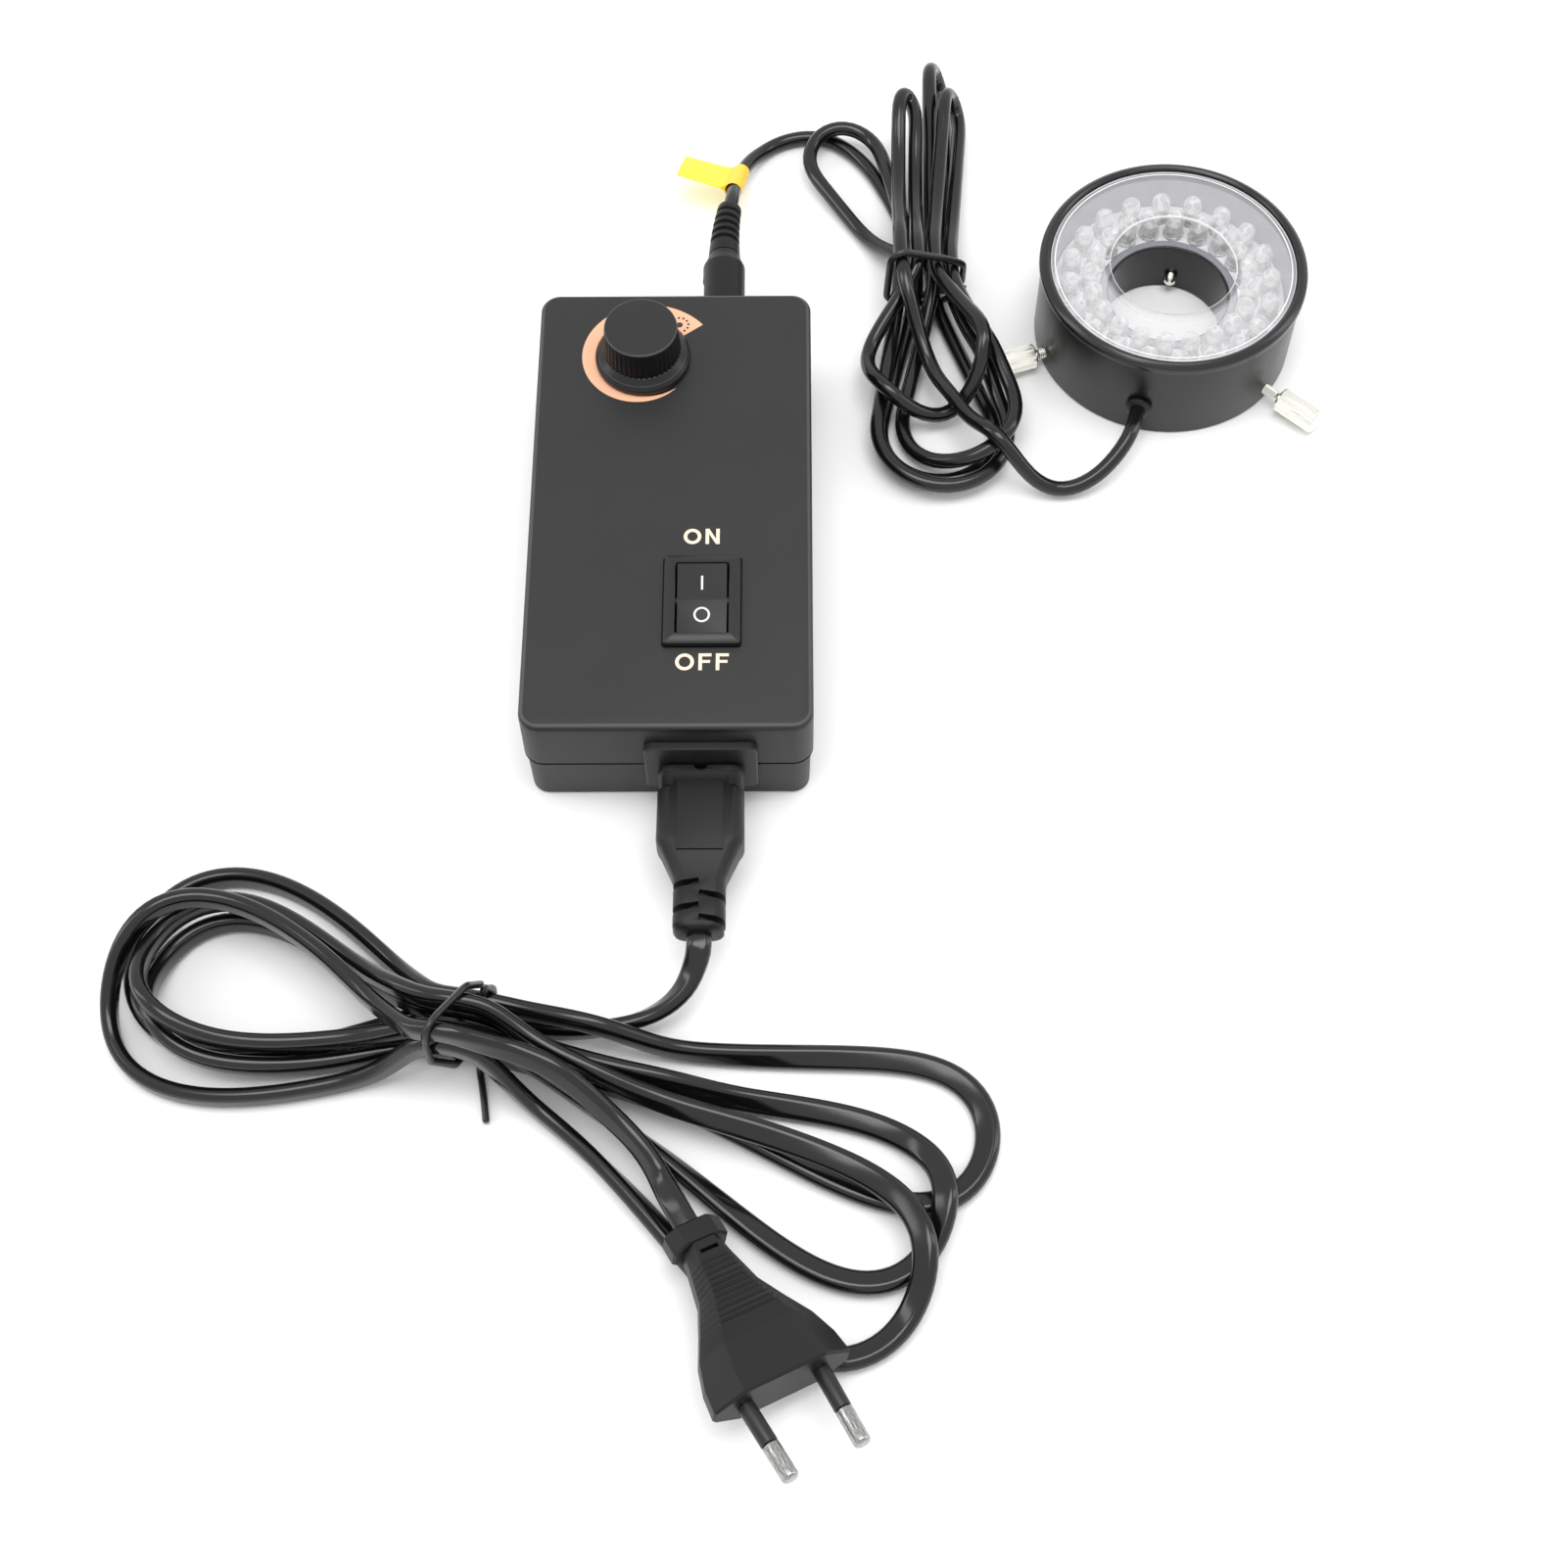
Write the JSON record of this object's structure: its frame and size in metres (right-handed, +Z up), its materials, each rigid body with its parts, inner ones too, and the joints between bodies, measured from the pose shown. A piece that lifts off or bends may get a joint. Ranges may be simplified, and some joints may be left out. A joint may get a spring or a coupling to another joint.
{
  "type": "microscope ring light",
  "caption": "Ring-shaped lamp head with clamp screws for a microscope, with a dimmer box, a lamp cable and a mains lead.",
  "frame": {"origin": "middle of the control box's underside, on the surface that everything rests on", "axes": "+Z up, -Y towards the mains inlet, +X towards the ring head"},
  "size_m": [0.3035, 0.4071, 0.0457],
  "materials": {
    "case_plastic": "fine-textured moulded plastic",
    "knob_plastic": "satin moulded plastic",
    "switch_plastic": "smooth moulded plastic",
    "cord_pvc": "glossy flexible vinyl",
    "tie_plastic": "flat plastic strap",
    "black_aluminium": "black anodised, satin",
    "plated_steel": "zinc plated",
    "bright_nickel": "bright nickel plate",
    "contact_brass": "plain",
    "clear_acrylic": "clear, polished",
    "led_epoxy": "clear lamp bodies on a white board",
    "circuit_board": "green lacquer",
    "board_parts": "dull dark grey",
    "winding_tape": "yellow tape",
    "capacitor_sleeve": "shrunk sleeve",
    "fuse_glass": "clear tube with plated caps",
    "label_yellow": "plain yellow film"
  },
  "bodies": {
    "control_box": {"case_bottom": "case_plastic", "case_top": "case_plastic", "case_screw_1": "plated_steel", "case_screw_2": "plated_steel", "case_screw_3": "plated_steel", "case_screw_4": "plated_steel", "pot_body": "board_parts", "pot_nut": "plated_steel", "switch_frame": "switch_plastic", "switch_terminal_1": "contact_brass", "switch_terminal_2": "contact_brass", "inlet_socket": "switch_plastic", "inlet_pin_1": "contact_brass", "inlet_pin_2": "contact_brass", "driver_board": "circuit_board", "transformer_core": "board_parts", "transformer_winding": "winding_tape", "filter_capacitor": "capacitor_sleeve", "heat_sink": "black_aluminium", "drive_transistor": "board_parts", "fuse": "fuse_glass", "dc_jack": "switch_plastic", "dc_jack_nut": "bright_nickel", "dc_plug": "cord_pvc", "dc_plug_boot": "cord_pvc", "cable_label": "label_yellow", "led_cable_start": "cord_pvc", "led_cable_hank": "cord_pvc", "led_cable_end": "cord_pvc", "led_cable_tie": "tie_plastic", "ring_housing": "black_aluminium", "ring_bezel": "black_aluminium", "ring_window": "clear_acrylic", "led_board": "led_epoxy", "cable_grommet": "cord_pvc", "mains_connector": "cord_pvc", "mains_lead_start": "cord_pvc", "mains_lead_hank": "cord_pvc", "mains_lead_end": "cord_pvc", "mains_lead_tie": "tie_plastic", "plug_body": "cord_pvc", "plug_pin_1": "bright_nickel", "plug_pin_2": "bright_nickel", "plug_pin_sleeve_1": "switch_plastic", "plug_pin_sleeve_2": "switch_plastic"},
    "dimmer": {"dimmer_knob": "knob_plastic", "pot_shaft": "plated_steel"},
    "rocker": {"switch_rocker": "switch_plastic"},
    "clamp_screw_1": {"thumbscrew_1": "bright_nickel"},
    "clamp_screw_2": {"thumbscrew_2": "bright_nickel"},
    "clamp_screw_3": {"thumbscrew_3": "bright_nickel"}
  },
  "joints": [
    {"name": "dimmer_turn", "type": "hinge", "parent": "control_box", "child": "dimmer", "pos_m": [-0.008, 0.044, 0.0333], "axis": [0, 0, 1], "range_deg": [-140, 140]},
    {"name": "rocker_tip", "type": "hinge", "parent": "control_box", "child": "rocker", "pos_m": [0.0082, -0.0302, 0.033], "axis": [-1, 0, 0], "range_deg": [0, 12]},
    {"name": "clamp_slide_1", "type": "slide", "parent": "control_box", "child": "clamp_screw_1", "axis": [0.2079, 0.9781, 0], "range_m": [-0.003, 0.0025]},
    {"name": "clamp_slide_2", "type": "slide", "parent": "control_box", "child": "clamp_screw_2", "axis": [-0.9511, -0.309, 0], "range_m": [-0.0023, 0.0032]},
    {"name": "clamp_slide_3", "type": "slide", "parent": "control_box", "child": "clamp_screw_3", "axis": [0.7431, -0.6691, 0], "range_m": [-0.0046, 0.0009]}
  ]
}
